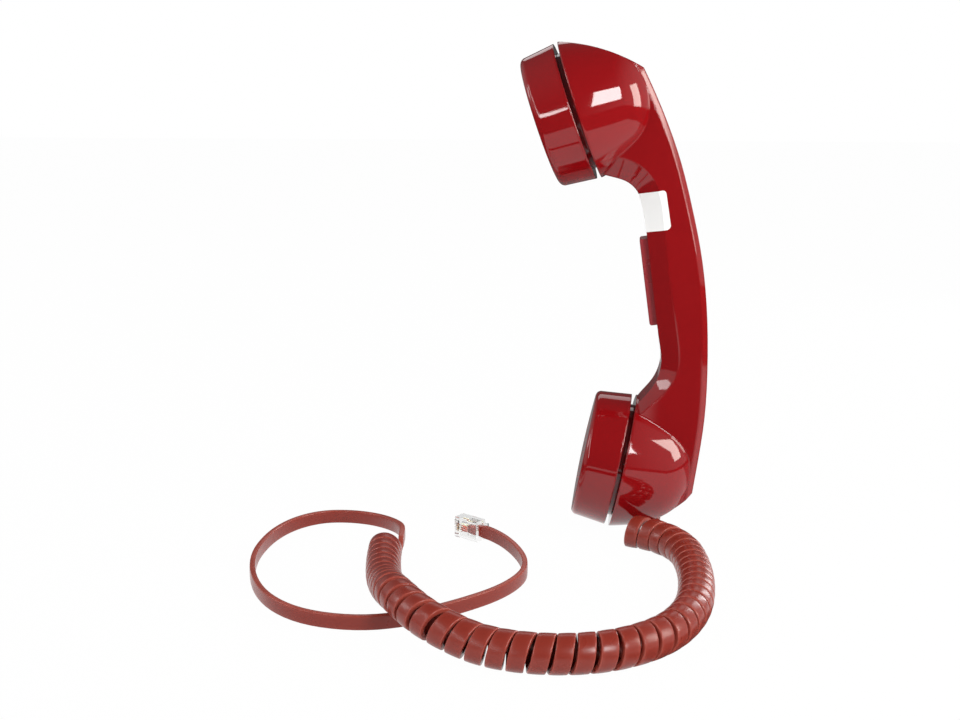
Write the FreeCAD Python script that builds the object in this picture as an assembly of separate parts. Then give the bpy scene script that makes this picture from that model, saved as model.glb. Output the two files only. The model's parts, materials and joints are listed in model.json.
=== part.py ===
import FreeCAD, Part
import math
import os

from FreeCAD import Placement, Rotation, Vector

# A telephone handset with a push-to-talk bar, two screw-on caps, a flat curly
# cord and a modular plug. It stands upright on the rim of its lower cup.
# X runs from the caps to the back of the handle, Y across it, Z up; millimetres.

# Cups, on the axis of each end; heights are from the seam plane, outwards
unit_radius = 22.2
bore_clearance = 0.6
flange_width = 3.4
neck_clearance = 0.8
thread_clearance = 0.4
cap_wall = 4.3
rim_overhang = 0.2
seam_gap = 2.2
rim_land = 0.6
neck_length = 11.0
bore_depth = 7.0
ear_tilt = 19.2
mouth_tilt = 11.0
ear_x = -17.95
ear_rise = 160.55
mouth_x = 4.35

# Hollow of each cup: how far inside the bore, and how deep, it is at the points of its arc
hollow_ledge = 2.4
hollow_shoulder = (4.2, 14.5)
hollow_waist = (8.6, 21.5)
hollow_end = (14.8, 27.0)

# Shift that brings the origin under the middle of the handset
to_centre = 0.38

# Bowl of each cup: how far inside the rim, and how deep, it is at the points of its two arcs
bowl_shoulder = (2.2, 10.0)
bowl_waist = (6.1, 21.0)
bowl_flank = (10.7, 28.0)
bowl_pole = (18.3, 33.0)
bowl_depth = 33.8

# End of the handle over each cup: how far inside the rim, and how deep, its points are
end_start = (-0.1, 0.9)
end_middle = (8.4, 17.0)
ear_corner = (23.0, 33.3)
mouth_corner = (26.7, 34.9)
end_turn = 0.62

# Handle: half widths, then its outlines seen from the side as X and height over the lower cup's middle
half_width = 15.5
inner_half_width = 9.0
back_bevel = 2.4
inner_line = [
    (-6.2, 133.3),
    (-0.8, 131.9),
    (4.6, 130.1),
    (9.3, 125.9),
    (11.7, 119.6),
    (13.55, 109.7),
    (20.9, 58.7),
    (22.0, 48.6),
    (20.9, 42.7),
    (18.0, 36.7),
    (14.6, 32.5),
    (11.6, 28.7),
]
crease_line = [
    (-7.4, 140.6),
    (-0.8, 141.1),
    (7.6, 139.1),
    (14.2, 134.2),
    (18.6, 126.6),
    (21.5, 110.6),
    (28.0, 66.1),
    (29.5, 50.1),
    (28.0, 42.6),
    (24.0, 36.6),
    (19.0, 31.6),
    (12.0, 24.6),
]
back_line = [
    (15.4, 170.0),
    (21.2, 157.0),
    (27.6, 140.0),
    (33.7, 118.2),
    (37.7, 100.7),
    (41.6, 71.1),
    (42.6, 47.1),
    (42.0, 23.4),
    (39.7, 3.1),
]

# Hollow of the handle
channel_half_width = 8.0
channel_front = [
    (1.5, 149.6),
    (14.5, 132.6),
    (17.6, 110.1),
    (24.9, 58.7),
    (26.0, 48.1),
    (24.0, 29.1),
    (16.5, 12.1),
]
channel_back = [
    (6.5, 160.6),
    (17.4, 151.1),
    (29.7, 117.0),
    (37.6, 71.1),
    (38.5, 45.1),
    (37.4, 21.1),
    (28.5, 4.6),
]

# Caps, from the seam outwards
cap_taper = 1.5
cap_edge = 2.6
cap_dome = 0.9
cap_face_wall = 3.4

# Receiver and transmitter units, screwed down under the caps
unit_depth = 13.0
unit_wall = 1.2
unit_ledge = 2.0
unit_flange = 1.5
ring_thick = 1.2
ring_overlap = 0.7
seat_gap = 0.3
diaphragm_height = 8.0
diaphragm_thick = 0.3
diaphragm_clearance = 0.6
grid_thick = 0.8
magnet_radius = 8.5
magnet_height = 5.0
coil_outer = 12.0
coil_inner = 9.0
coil_height = 3.6
chamber_radius = 9.5
chamber_height = 6.0
cup_clearance = 0.3
cup_wall = 1.8
cup_plate = 2.0
terminal_radius = 2.0
terminal_height = 2.2
terminal_spread = 5.6
cup_terminal_offset = 9.0
varistor_size = (7.0, 3.4, 2.6)
contact_size = (9.0, 3.0, 0.4)

# Sound holes: rings of holes about the middle one
ear_hole_radius = 1.1
ear_hole_pitch = 4.6
ear_rings = 2
mouth_hole_radius = 0.9
mouth_hole_pitch = 3.9
mouth_rings = 4

# Talk bar, its slot and what it presses; heights are from the inner face
bar_x = 17.15
bar_middle = 85.2
bar_slope = 8.2
bar_length = 39.4
bar_width = 12.6
bar_rise = 3.6
bar_round = 1.0
bar_travel = 2.5
bar_gap = 0.4
flange_lip = 1.2
flange_thick = 1.6
front_wall = 4.0
pocket_depth = 17.5
peg_radius = 1.5
peg_length = 2.0
spring_radius = 2.6
spring_wire = 0.6
spring_offset = 15.6
switch_length = 16.0
switch_width = 6.4
switch_height = 7.4
switch_ear = 4.2
switch_ear_height = 2.2
plunger_radius = 1.4
plunger_bore_floor = 1.9
plunger_floor_gap = 0.3
screw_radius = 0.9
screw_head_radius = 1.7
screw_head_height = 1.0
screw_bite = 2.5
tab_size = (1.2, 1.6, 3.0)
tab_offset = 4.0

# Foam plug that closes the handle's hollow between the cups
foam_rise = 121.1
foam_length = 9.0
foam_gap = 0.3

# Inner leads, beside the switch: points from the receiver to the lower cup, as the handle's
lead_radius = 0.6
lead_offset = 5.6
lead_points = [
    (-13.98, 161.93),
    (-8.0, 164.0),
    (2.0, 159.7),
    (11.0, 148.7),
    (18.5, 135.1),
    (25.0, 119.1),
    (29.6, 102.1),
    (32.8, 84.1),
    (35.2, 65.1),
    (35.8, 45.1),
    (32.7, 26.1),
    (28.0, 11.6),
    (20.0, -2.9),
    (11.3, -1.2),
]

# Labels, on a layer of glue; heights of the upper one are from the upper end of the talk bar
label_glue = 0.05
label_thick = 0.15
label_round = 1.6
label_corner = 0.3
label_heel = 0.8
label_high = (8.0, 19.8)
label_top = (22.0, 22.2)
label_side = (24.3, 7.0)
label_foot = (22.6, 5.0)
label_low = (8.0, 2.0)
low_label_gap = 5.1
low_label_length = 12.0
low_label_half_width = 6.5

# Cord: flat, wound into curls along a route on the surface it lies on
cord_width = 5.9
cord_thick = 2.5
curl_width = 5.4
curl_radius = 6.1
curl_count = 45
curl_steps = 12
curl_release = 20.0
curl_loose = 0.95
curl_straight = 5.0
curl_spread = 0.07
curl_spread_from = 75.0
curl_spread_to = 250.0
curl_spread_ramp = 45.0
curl_route = [
    (11.2, -33.2, 7.45),
    (20.6, -38.0, 7.45),
    (29.2, -47.4, 7.45),
    (34.6, -62.0, 7.45),
    (36.8, -92.0, 7.45),
    (33.2, -121.5, 7.45),
    (22.5, -144.0, 7.45),
    (3.8, -159.5, 7.45),
    (-19.0, -165.0, 7.45),
    (-42.0, -162.0, 8.4),
    (-62.0, -153.0, 12.6),
    (-77.0, -134.5, 14.0),
    (-87.0, -108.0, 8.8),
    (-92.4, -84.0, 7.45),
    (-95.6, -60.0, 7.45),
]
exit_x = 21.0
exit_height = 1.0
grommet_length = 9.0
grommet_width = 5.0
grommet_gap = 0.1
grommet_neck = 9.6
grommet_slot = 4.6
grommet_head = 1.8
grommet_lip = 0.8
cord_gap = 0.2
lie_gap = 0.05
lead_run = 7.0
lead_middle = [(21.0, -8.1), (18.0, -15.2)]
tail_rise = 8.0
tail_middle = [
    (-94.6, -36.8, 6.2),
    (-102.2, -27.2, 5.0),
    (-111.6, -19.6, 3.8),
    (-122.4, -15.6, 3.0),
    (-133.4, -17.2, 3.0),
    (-142.4, -24.6, 3.0),
    (-148.6, -36.4, 3.0),
    (-151.8, -52.5, 3.0),
    (-151.5, -75.0, 3.0),
    (-144.5, -100.0, 3.0),
    (-132.0, -121.0, 3.0),
    (-114.0, -134.5, 3.0),
    (-91.0, -137.5, 3.0),
    (-71.5, -129.5, 3.0),
    (-55.0, -115.5, 3.0),
    (-41.5, -100.5, 3.0),
    (-34.0, -84.0, 3.0),
    (-33.6, -70.5, 3.2),
    (-37.8, -57.5, 3.8),
    (-44.8, -45.3, 4.5),
]

# Modular plug, lying on its side; its own X points out of its nose
plug_x = -57.5
plug_y = -33.5
plug_turn = 147.0
plug_length = 12.7
plug_width = 9.65
plug_height = 6.6
plug_chamfer = 0.55
socket_depth = 6.0
blade_length = 3.6
blade_depth = 2.4
blade_thick = 0.3
blade_gap = 0.05
blade_inset = 0.6
blade_pitch = 1.02
blade_count = 4
latch_gap = 0.3
latch_width = 3.2
latch_thick = 0.8
latch_length = 11.0
latch_root = 1.4
latch_rise = 2.2
latch_pivot = 11.6


def v(x, y, z):
    return Vector(x, y, z)


def chain(start, steps):
    """A closed wire in the XZ plane: a step is a point, or the middle and end points of an arc."""
    edges = []
    here = v(start[0], 0, start[1])
    for step in list(steps) + [start]:
        if isinstance(step[0], tuple):
            middle = v(step[0][0], 0, step[0][1])
            there = v(step[1][0], 0, step[1][1])
            edges.append(Part.Arc(here, middle, there).toShape())
        else:
            there = v(step[0], 0, step[1])
            if there.distanceToPoint(here) > 1e-6:
                edges.append(Part.LineSegment(here, there).toShape())
        here = there
    return Part.Wire(edges)


def turned(start, *steps):
    """A solid of revolution about Z from an outline of radius, height."""
    return Part.Face(chain(start, steps)).revolve(v(0, 0, 0), v(0, 0, 1), 360)


def disc(radius, low, high, x=0.0, y=0.0):
    return Part.makeCylinder(radius, high - low, v(x, y, low))


def tube(outer, inner, low, high, x=0.0, y=0.0):
    return disc(outer, low, high, x, y).cut(disc(inner, low, high, x, y))


def block(length, width, low, high, x=0.0, y=0.0):
    return Part.makeBox(length, width, high - low, v(x - length / 2, y - width / 2, low))


def slab(outline, half):
    """An outline in the XZ plane given a thickness along Y on both sides of it."""
    face = Part.Face(outline)
    face.translate(v(0, -half, 0))
    return face.extrude(v(0, 2 * half, 0))


def outward(x, z, slope):
    """The place whose Z points out of the object, sloping down by so many degrees."""
    return Placement(v(x, 0, z), Rotation(v(0, 1, 0), -(90.0 + slope)))


def put(shape, place):
    moved = shape.copy()
    moved.Placement = place.multiply(moved.Placement)
    return moved


def save(name, *shapes):
    """One sub-part, as one solid or as a group of separate ones."""
    solids = [solid for shape in shapes for solid in shape.Solids]
    shape = solids[0] if len(solids) == 1 else Part.makeCompound(solids)
    for solid in solids:
        if not solid.isValid():
            print("not valid:", name)
    shape.translate(v(to_centre, 0, 0))
    shape.exportStep("parts/" + name + ".step")
    print(name, len(solids), round(shape.Volume, 1))


bore_radius = unit_radius + bore_clearance
flange_radius = unit_radius + flange_width
neck_radius = flange_radius + neck_clearance
cap_lip_radius = neck_radius + thread_clearance + cap_wall
cap_top_radius = cap_lip_radius - cap_taper
rim_radius = cap_lip_radius + rim_overhang
hollow_radius = bore_radius - hollow_ledge
ring_bore = unit_radius - ring_overlap
mouth_lean = math.radians(mouth_tilt)
mouth_z = rim_radius * math.cos(mouth_lean) + seam_gap / 2 * math.sin(mouth_lean)
ear_place = outward(ear_x, mouth_z + ear_rise, ear_tilt)
mouth_place = outward(mouth_x, mouth_z, -mouth_tilt)
bar_place = outward(bar_x, mouth_z + bar_middle, bar_slope)
seat = neck_length + unit_flange
cap_inner = seat + ring_thick + seat_gap
cap_depth = cap_inner + cap_face_wall
unit_floor = neck_length - unit_depth
flange_top = -(front_wall + seat_gap)
flange_bottom = flange_top - flange_thick
switch_top = switch_height - pocket_depth


def inset(radius, point):
    """A point given by how far inside a radius it is, and how deep."""
    inside, depth = point
    return (radius - inside, -depth)


def raised(points):
    """Outline points with their heights taken from the surface, not from the lower cup's middle."""
    return [(x, z + mouth_z) for x, z in points]


def end_arc(place, side, corner):
    """The curve of the handle's end over a cup, in the object's own frame."""
    points = [inset(rim_radius, point) for point in (end_start, end_middle, corner)]
    return Part.Arc(*[place.multVec(v(side * across, 0, height)) for across, height in points])


def along(arc, share):
    return arc.value(arc.FirstParameter + share * (arc.LastParameter - arc.FirstParameter))


ear_end = end_arc(ear_place, 1, ear_corner)
mouth_end = end_arc(mouth_place, -1, mouth_corner)


def spline(points):
    curve = Part.BSplineCurve()
    curve.interpolate(points)
    return curve.toShape()


def handle_wire(front, y, growth=0.0):
    """The handle's outline at one distance from the middle plane."""
    shift = v(0, y, 0)
    half_turn = (1 + end_turn) / 2
    back = [v(x, y, z) for x, z in raised(back_line)]
    back = [ear_end.EndPoint + shift] + back + [mouth_end.EndPoint + shift]
    fore = [v(x - growth, y, z) for x, z in raised(front)]
    ear_inside = along(ear_end, end_turn) + shift
    mouth_inside = along(mouth_end, end_turn) + shift
    edges = [
        spline(fore),
        Part.LineSegment(fore[-1], mouth_inside).toShape(),
        Part.Arc(mouth_inside, along(mouth_end, half_turn) + shift, back[-1]).toShape(),
        spline(list(reversed(back))),
        Part.Arc(back[0], along(ear_end, half_turn) + shift, ear_inside).toShape(),
        Part.LineSegment(ear_inside, fore[0]).toShape(),
    ]
    return Part.Wire(edges)


def handle_body(growth=0.0):
    """The handle between its cups, its inner face and its two bevels."""
    side = half_width + growth
    inner = inner_half_width + growth / 2
    wires = [
        handle_wire(crease_line, -side, growth),
        handle_wire(inner_line, -inner, growth),
        handle_wire(inner_line, inner, growth),
        handle_wire(crease_line, side, growth),
    ]
    return Part.makeLoft(wires, True, True)


def bevelled_handle():
    """The handle with its back edges cut at a slant."""
    body = handle_body()
    sides = [edge for edge in body.Edges if edge.BoundBox.YLength < 0.01]
    outer = [edge for edge in sides if abs(abs(edge.BoundBox.YMin) - half_width) < 0.01]
    height = max(edge.BoundBox.ZLength for edge in outer)
    back = [edge for edge in outer if edge.BoundBox.ZLength > 0.99 * height]
    return body.makeChamfer(back_bevel, back)


def bowl():
    """A cup's bowl, whole."""
    return turned(
        (0, -seam_gap / 2),
        (rim_radius, -seam_gap / 2),
        (rim_radius, -seam_gap / 2 - rim_land),
        (inset(rim_radius, bowl_shoulder), inset(rim_radius, bowl_waist)),
        (inset(rim_radius, bowl_flank), inset(rim_radius, bowl_pole)),
        (0, -bowl_depth),
    )


def end_waste(side, corner):
    """What lies beyond the handle's end, in a cup's own frame."""
    far = 2 * rim_radius
    start, middle, end = [inset(rim_radius, point) for point in (end_start, end_middle, corner)]
    outline = [
        ((side * middle[0], middle[1]), (side * end[0], end[1])),
        (side * end[0], -far),
        (side * far, -far),
        (side * far, start[1]),
    ]
    return slab(chain((side * start[0], start[1]), outline), far)


def cup_hollow():
    """The space inside a cup: the bore of its neck, a ledge and the hollow of its bowl."""
    return turned(
        (0, neck_length + 1),
        (bore_radius, neck_length + 1),
        (bore_radius, -bore_depth),
        (hollow_radius, -bore_depth),
        (inset(bore_radius, hollow_shoulder), inset(bore_radius, hollow_waist)),
        inset(bore_radius, hollow_end),
        (0, -hollow_end[1]),
    )


def handle_channel(gap=0.0):
    """The hollow down the handle, or what fits it with a gap."""
    points = [v(x + gap, 0, z) for x, z in raised(channel_front)]
    others = [v(x - gap, 0, z) for x, z in reversed(raised(channel_back))]
    edges = [
        spline(points),
        Part.LineSegment(points[-1], others[0]).toShape(),
        spline(others),
        Part.LineSegment(others[-1], points[0]).toShape(),
    ]
    return slab(Part.Wire(edges), channel_half_width)


def exit_point():
    """Where the cord leaves the underside of the lower cup."""
    line = Part.makeLine(v(exit_x, 0, 0), v(exit_x, 0, 2 * rim_radius))
    return line.distToShape(mouth_end.toShape())[1][0][0]


def grommet_hole(gap, low, high):
    return block(grommet_length + 2 * gap, grommet_width + 2 * gap, low, high, exit_x)


def screw_offset():
    return switch_length / 2 + switch_ear / 2


def shell():
    """The one-piece handle with its two cups."""
    body = bevelled_handle()
    for place, side, corner in ((ear_place, 1, ear_corner), (mouth_place, -1, mouth_corner)):
        cup = bowl().cut(end_waste(side, corner))
        neck = disc(neck_radius, -seam_gap, neck_length)
        body = body.fuse([put(cup, place), put(neck, place)])
    body = body.cut([put(cup_hollow(), place) for place in (ear_place, mouth_place)])
    pocket_length = bar_length + 2 * flange_lip + 2 * bar_gap
    pocket = block(pocket_length, 2 * channel_half_width, -pocket_depth, -front_wall)
    slot = block(bar_length + 2 * bar_gap, bar_width + 2 * bar_gap, -front_wall - 1, bar_rise)
    body = body.cut(handle_channel()).cut([put(pocket, bar_place), put(slot, bar_place)])
    for side in (-1, 1):
        hole = disc(screw_radius, -pocket_depth - screw_bite, 1 - pocket_depth, side * screw_offset())
        body = body.cut(put(hole, bar_place))
    return body.cut(grommet_hole(0.0, 0.0, mouth_z))


def cap(hole_radius, pitch, rings):
    """A screw-on cap with rings of sound holes round the middle one."""
    inner_radius = neck_radius + thread_clearance
    body = turned(
        (inner_radius, seam_gap / 2),
        (cap_lip_radius, seam_gap / 2),
        (cap_top_radius, cap_depth - cap_edge),
        (
            (cap_top_radius - 0.3 * cap_edge, cap_depth - 0.3 * cap_edge),
            (cap_top_radius - cap_edge, cap_depth),
        ),
        ((cap_top_radius / 2, cap_depth + 0.7 * cap_dome), (0, cap_depth + cap_dome)),
        (0, cap_inner),
        (inner_radius, cap_inner),
    )
    holes = [disc(hole_radius, cap_inner - 1, cap_depth + cap_dome + 1)]
    for ring in range(1, rings + 1):
        for step in range(6 * ring):
            angle = math.pi * step / (3 * ring)
            x = ring * pitch * math.cos(angle)
            y = ring * pitch * math.sin(angle)
            holes.append(disc(hole_radius, cap_inner - 1, cap_depth + cap_dome + 1, x, y))
    return body.cut(holes)


def seal_ring():
    return tube(flange_radius, ring_bore, seat, seat + ring_thick)


def unit_case():
    """The metal case of a receiver or transmitter unit, with a ledge for its diaphragm."""
    inside = unit_radius - unit_wall
    ledge = inside - unit_ledge
    body = disc(unit_radius, unit_floor, seat).fuse(disc(flange_radius, neck_length, seat))
    body = body.cut(disc(ledge, unit_floor + unit_wall, seat))
    return body.cut(disc(inside, diaphragm_height, seat))


def unit_grid():
    """The pierced front of a unit, standing on the rim of its diaphragm."""
    outer = unit_radius - unit_wall - 0.1
    low = diaphragm_height + diaphragm_thick
    body = disc(outer, low, seat - 0.2).cut(disc(outer - 1.2, low, seat - 0.2 - grid_thick))
    holes = []
    for step in range(6):
        angle = math.pi * step / 3
        x = 2 * ear_hole_pitch * math.cos(angle)
        y = 2 * ear_hole_pitch * math.sin(angle)
        holes.append(disc(1.5 * ear_hole_radius, low, seat, x, y))
    return body.cut(holes)


def unit_diaphragm():
    radius = unit_radius - unit_wall - diaphragm_clearance
    return disc(radius, diaphragm_height, diaphragm_height + diaphragm_thick)


def terminals(low, count):
    """Screw heads in a row across the object."""
    places = [terminal_spread * (2 * step - count + 1) / (count - 1) for step in range(count)]
    return [disc(terminal_radius, low, low + terminal_height, 0, y) for y in places]


def make_units():
    """What sits under the two caps."""
    inner_floor = unit_floor + unit_wall
    for name, place in (("receiver", ear_place), ("transmitter", mouth_place)):
        save(name + "_seal", put(seal_ring(), place))
        save(name + "_case", put(unit_case(), place))
        save(name + "_grid", put(unit_grid(), place))
        save(name + "_diaphragm", put(unit_diaphragm(), place))
    magnet = disc(magnet_radius, inner_floor, inner_floor + magnet_height)
    coil = tube(coil_outer, coil_inner, inner_floor, inner_floor + coil_height)
    save("receiver_magnet", put(magnet, ear_place))
    save("receiver_coil", put(coil, ear_place))
    pair = terminals(unit_floor - terminal_height, 2)
    save("receiver_terminals", *[put(screw, ear_place) for screw in pair])
    across, length, tall = varistor_size
    varistor = block(length, across, unit_floor - tall, unit_floor)
    save("varistor", put(varistor.cut(pair), ear_place))
    chamber = disc(chamber_radius, inner_floor, inner_floor + chamber_height)
    save("carbon_chamber", put(chamber, mouth_place))


def make_contact_cup():
    """The plastic cup behind the transmitter, with its springs and screws."""
    outer = bore_radius - cup_clearance
    floor = -bore_depth
    body = disc(outer, floor, unit_floor).cut(disc(outer - cup_wall, floor + cup_plate, unit_floor))
    save("contact_cup", put(body, mouth_place))
    long, wide, thin = contact_size
    plate = floor + cup_plate
    springs = []
    for side in (-1, 1):
        foot = block(long, wide, plate, plate + thin, side * long, 0)
        riser = block(thin, wide, plate, unit_floor - seat_gap, side * (long / 2 + thin / 2), 0)
        top = unit_floor - seat_gap
        pad = block(long / 3, wide, top - thin, top, side * 2 * long / 3, 0)
        springs.append(put(foot.fuse([riser, pad]).removeSplitter(), mouth_place))
    save("contact_springs", *springs)
    offsets = (-cup_terminal_offset, cup_terminal_offset)
    heads = [disc(terminal_radius, plate, plate + terminal_height / 2, 0, y) for y in offsets]
    save("cup_terminals", *[put(head, mouth_place) for head in heads])


def talk_bar():
    """The bar that the hand presses, with the flange and pegs behind it."""
    bar = block(bar_length, bar_width, flange_bottom, bar_rise)
    upper = [edge for edge in bar.Edges if edge.BoundBox.ZMin > bar_rise - 0.01]
    bar = bar.makeFillet(bar_round, upper)
    wide = 2 * flange_lip
    flange = block(bar_length + wide, bar_width + wide, flange_bottom, flange_top)
    peg_end = flange_bottom - peg_length
    pegs = [disc(peg_radius, peg_end, flange_bottom, side * spring_offset) for side in (-1, 1)]
    return bar.fuse([flange] + pegs).removeSplitter()


def make_switch():
    """The switch behind the talk bar, its plunger, tabs, screws and the return springs."""
    floor = -pocket_depth
    body = block(switch_length, switch_width, floor, switch_top)
    ears = block(switch_length + 2 * switch_ear, switch_width, floor, floor + switch_ear_height)
    plunger_top = flange_bottom - seat_gap
    plunger_low = floor + plunger_bore_floor + plunger_floor_gap + bar_travel
    bore = disc(plunger_radius + 0.15, floor + plunger_bore_floor, switch_top)
    heads = []
    holes = [bore]
    screws = []
    ear_top = floor + switch_ear_height
    for side in (-1, 1):
        x = side * screw_offset()
        holes.append(disc(screw_radius + 0.1, floor, ear_top, x))
        shank = disc(screw_radius, floor - screw_bite, ear_top, x)
        head = disc(screw_head_radius, ear_top, ear_top + screw_head_height, x)
        screws.append(put(shank.fuse(head), bar_place))
    save("talk_switch", put(body.fuse(ears).cut(holes), bar_place))
    save("switch_screws", *screws)
    save("switch_plunger", put(disc(plunger_radius, plunger_low, plunger_top), bar_place))
    length, width, tall = tab_size
    tabs = []
    for x in (-tab_offset, tab_offset):
        y = switch_width / 2 + width / 2
        tabs.append(put(block(length, width, floor + 2, floor + 2 + tall, x, y), bar_place))
    save("switch_tabs", *tabs)
    springs = []
    for side in (-1, 1):
        inner = spring_radius - spring_wire
        spring = tube(spring_radius, inner, floor, flange_bottom, side * spring_offset)
        springs.append(put(spring, bar_place))
    save("bar_springs", *springs)


def routed(points, name):
    """Straight runs joined by tangent arcs, each arc as large as its runs allow."""
    points = [v(*point) for point in points]
    edges = []
    radii = []
    here = points[0]
    for before, corner, after in zip(points, points[1:], points[2:]):
        first = (corner - before).Length
        second = (after - corner).Length
        into = (corner - before).normalize()
        out = (after - corner).normalize()
        turn = into.getAngle(out)
        reach = 0.45 * min(first, second)
        radii.append(reach / math.tan(turn / 2))
        start = corner - into * reach
        end = corner + out * reach
        bisector = (out - into).normalize()
        sagitta = radii[-1] / math.cos(turn / 2) - radii[-1]
        edges.append(Part.LineSegment(here, start).toShape())
        edges.append(Part.Arc(start, corner + bisector * sagitta, end).toShape())
        here = end
    edges.append(Part.LineSegment(here, points[-1]).toShape())
    print(name, "radii", [round(radius, 1) for radius in radii])
    return Part.Wire(edges)


def swept(path, section, area, name, upright=False):
    """A solid of one section along a path, if need be without any roll about it."""
    pipe = Part.BRepOffsetAPI.MakePipeShell(path)
    if upright:
        pipe.setBiNormalMode(v(0, 0, 1))
    pipe.add(section)
    pipe.build()
    pipe.makeSolid()
    body = pipe.shape()
    print(name, "volume against section times length", round(body.Volume / (area * path.Length), 4))
    return body


def make_leads():
    """Two insulated leads down the handle, one each side of the switch."""
    leads = []
    for y in (-lead_offset, lead_offset):
        points = [(x, y, z) for x, z in raised(lead_points)]
        path = routed(points, "inner_leads")
        toward = v(*points[1]) - v(*points[0])
        section = Part.Wire(Part.makeCircle(lead_radius, v(*points[0]), toward))
        leads.append(swept(path, section, math.pi * lead_radius**2, "inner_leads"))
    save("inner_leads", *leads)
    return leads


def make_foam():
    """The foam plug across the handle's hollow, pierced for the leads."""
    half = channel_half_width - foam_gap
    span = Part.makeBox(2 * rim_radius, 2 * half, foam_length, v(0, -half, mouth_z + foam_rise))
    body = handle_channel(foam_gap).common(span)
    for y in (-lead_offset, lead_offset):
        points = [(x, y, z) for x, z in raised(lead_points)]
        path = routed(points, "foam_bore")
        toward = v(*points[1]) - v(*points[0])
        section = Part.Wire(Part.makeCircle(lead_radius + foam_gap, v(*points[0]), toward))
        body = body.cut(path.makePipeShell([section], True, False))
    save("foam_plug", body)


def label(outline, half):
    """A thin skin over the handle inside an outline seen from the side, clear of the cups."""
    skin = handle_body(label_glue + label_thick).common(slab(outline, half))
    return skin.cut([handle_body(label_glue), put(bowl(), ear_place), put(bowl(), mouth_place)])


def make_labels():
    """The label that wraps the grip above the bar, and the one below the bar."""
    bar_reach = bar_length / 2 * math.cos(math.radians(bar_slope))
    bar_top = mouth_z + bar_middle + bar_reach
    points = (label_high, label_top, label_side, label_foot, label_low)
    high, top, side, foot, low = [(x, z + bar_top) for x, z in points]
    corner = label_corner * label_round
    outline = chain(
        high,
        [
            (top[0] - label_round, top[1]),
            ((top[0] - corner, top[1] - corner), (top[0], top[1] - label_round)),
            side,
            ((side[0] - corner, side[1] - label_heel * label_round), foot),
            low,
        ],
    )
    save("upper_label", label(outline, half_width + 1))
    behind = bar_x + 2 * front_wall
    head = mouth_z + bar_middle - bar_reach - low_label_gap
    end = head - low_label_length
    outline = chain((bar_x, end), [(bar_x, head), (behind, head), (behind, end)])
    save("lower_label", label(outline, low_label_half_width))


def curl_places(route, count):
    """Where along the route each step of the winding comes: wider in bends, loose at the end."""
    fine = 0.5
    reach = curl_radius + cord_thick / 2
    length = route.length()
    marks = [0.0]
    while len(marks) * fine < length:
        gone = (len(marks) - 0.5) * fine
        bend = route.curvature(route.parameterAtDistance(gone, route.FirstParameter))
        loose = max(0.0, 1 - (length - gone) / curl_release) ** 2
        inside = min(gone - curl_spread_from, curl_spread_to - gone) / curl_spread_ramp
        wider = 1 + curl_spread * max(0.0, min(1.0, inside))
        marks.append(marks[-1] + fine * (1 - reach * bend) * (1 - curl_loose * loose) / wider)
    places = []
    at = 0
    for step in range(count):
        wanted = marks[-1] * step / count
        while marks[at + 1] < wanted:
            at += 1
        places.append((at + (wanted - marks[at]) / (marks[at + 1] - marks[at])) * fine)
    return places + [length]


def curl_line():
    """The middle line of the curled cord: points with the direction away from the curl's axis."""
    route = Part.BSplineCurve()
    route.interpolate([v(*point) for point in curl_route])
    line = []
    for step, place in enumerate(curl_places(route, curl_count * curl_steps + curl_steps // 4)):
        at = route.parameterAtDistance(place, route.FirstParameter)
        ahead = route.tangent(at)[0].normalize()
        across = ahead.cross(v(0, 0, 1)).normalize()
        above = across.cross(ahead)
        angle = 2 * math.pi * step / curl_steps - math.pi / 2
        radial = across * math.cos(angle) + above * math.sin(angle)
        line.append((route.value(at) + radial * curl_radius, radial))
        if step == 0:
            back = across * (-curl_straight / 2)
    on = ahead * (curl_straight / 2)
    entry = [(line[0][0] + back * 2, line[0][1]), (line[0][0] + back, line[0][1])]
    leave = [(line[-1][0] + on, line[-1][1]), (line[-1][0] + on * 2, line[-1][1])]
    return entry + line + leave


def curl_corners(line):
    """The four corners of the flat cord at each point."""
    middle = Part.BSplineCurve()
    middle.interpolate(Points=[point for point, radial in line], Parameters=list(range(len(line))))
    corners = []
    for step, (point, radial) in enumerate(line):
        heading = middle.tangent(step)[0].normalize()
        if step in (0, len(line) - 1):
            heading = (line[max(step, 1)][0] - line[max(step, 1) - 1][0]).normalize()
        wide = heading.cross(radial).normalize() * (curl_width / 2)
        thick = wide.cross(heading).normalize() * (cord_thick / 2)
        right = point + wide
        left = point - wide
        corners.append((right + thick, right - thick, left - thick, left + thick))
    return corners


def least_gap(edges):
    """The least distance between one turn of the cord and the next, measured on points."""
    fine = 5
    tracks = []
    for curve in edges:
        count = (len(curve.getKnots()) - 1) * fine
        span = curve.LastParameter - curve.FirstParameter
        tracks.append([curve.value(curve.FirstParameter + span * step / count) for step in range(count + 1)])
    turn = curl_steps * fine
    least = 1000.0
    for here in range(len(tracks[0]) - turn - fine):
        for there in range(here + turn - fine, here + turn + fine + 1):
            for mine, other in ((2, 1), (3, 0), (1, 2), (0, 3)):
                least = min(least, tracks[mine][here].distanceToPoint(tracks[other][there]))
    return least


def ruled(one, other):
    """The face between two curves with the same knots."""
    surface = Part.BSplineSurface()
    poles = [one.getPoles(), other.getPoles()]
    surface.buildFromPolesMultsKnots(
        poles, [2, 2], one.getMultiplicities(), [0, 1], one.getKnots(), False, False, 1, one.Degree
    )
    return surface.toShape()


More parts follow.
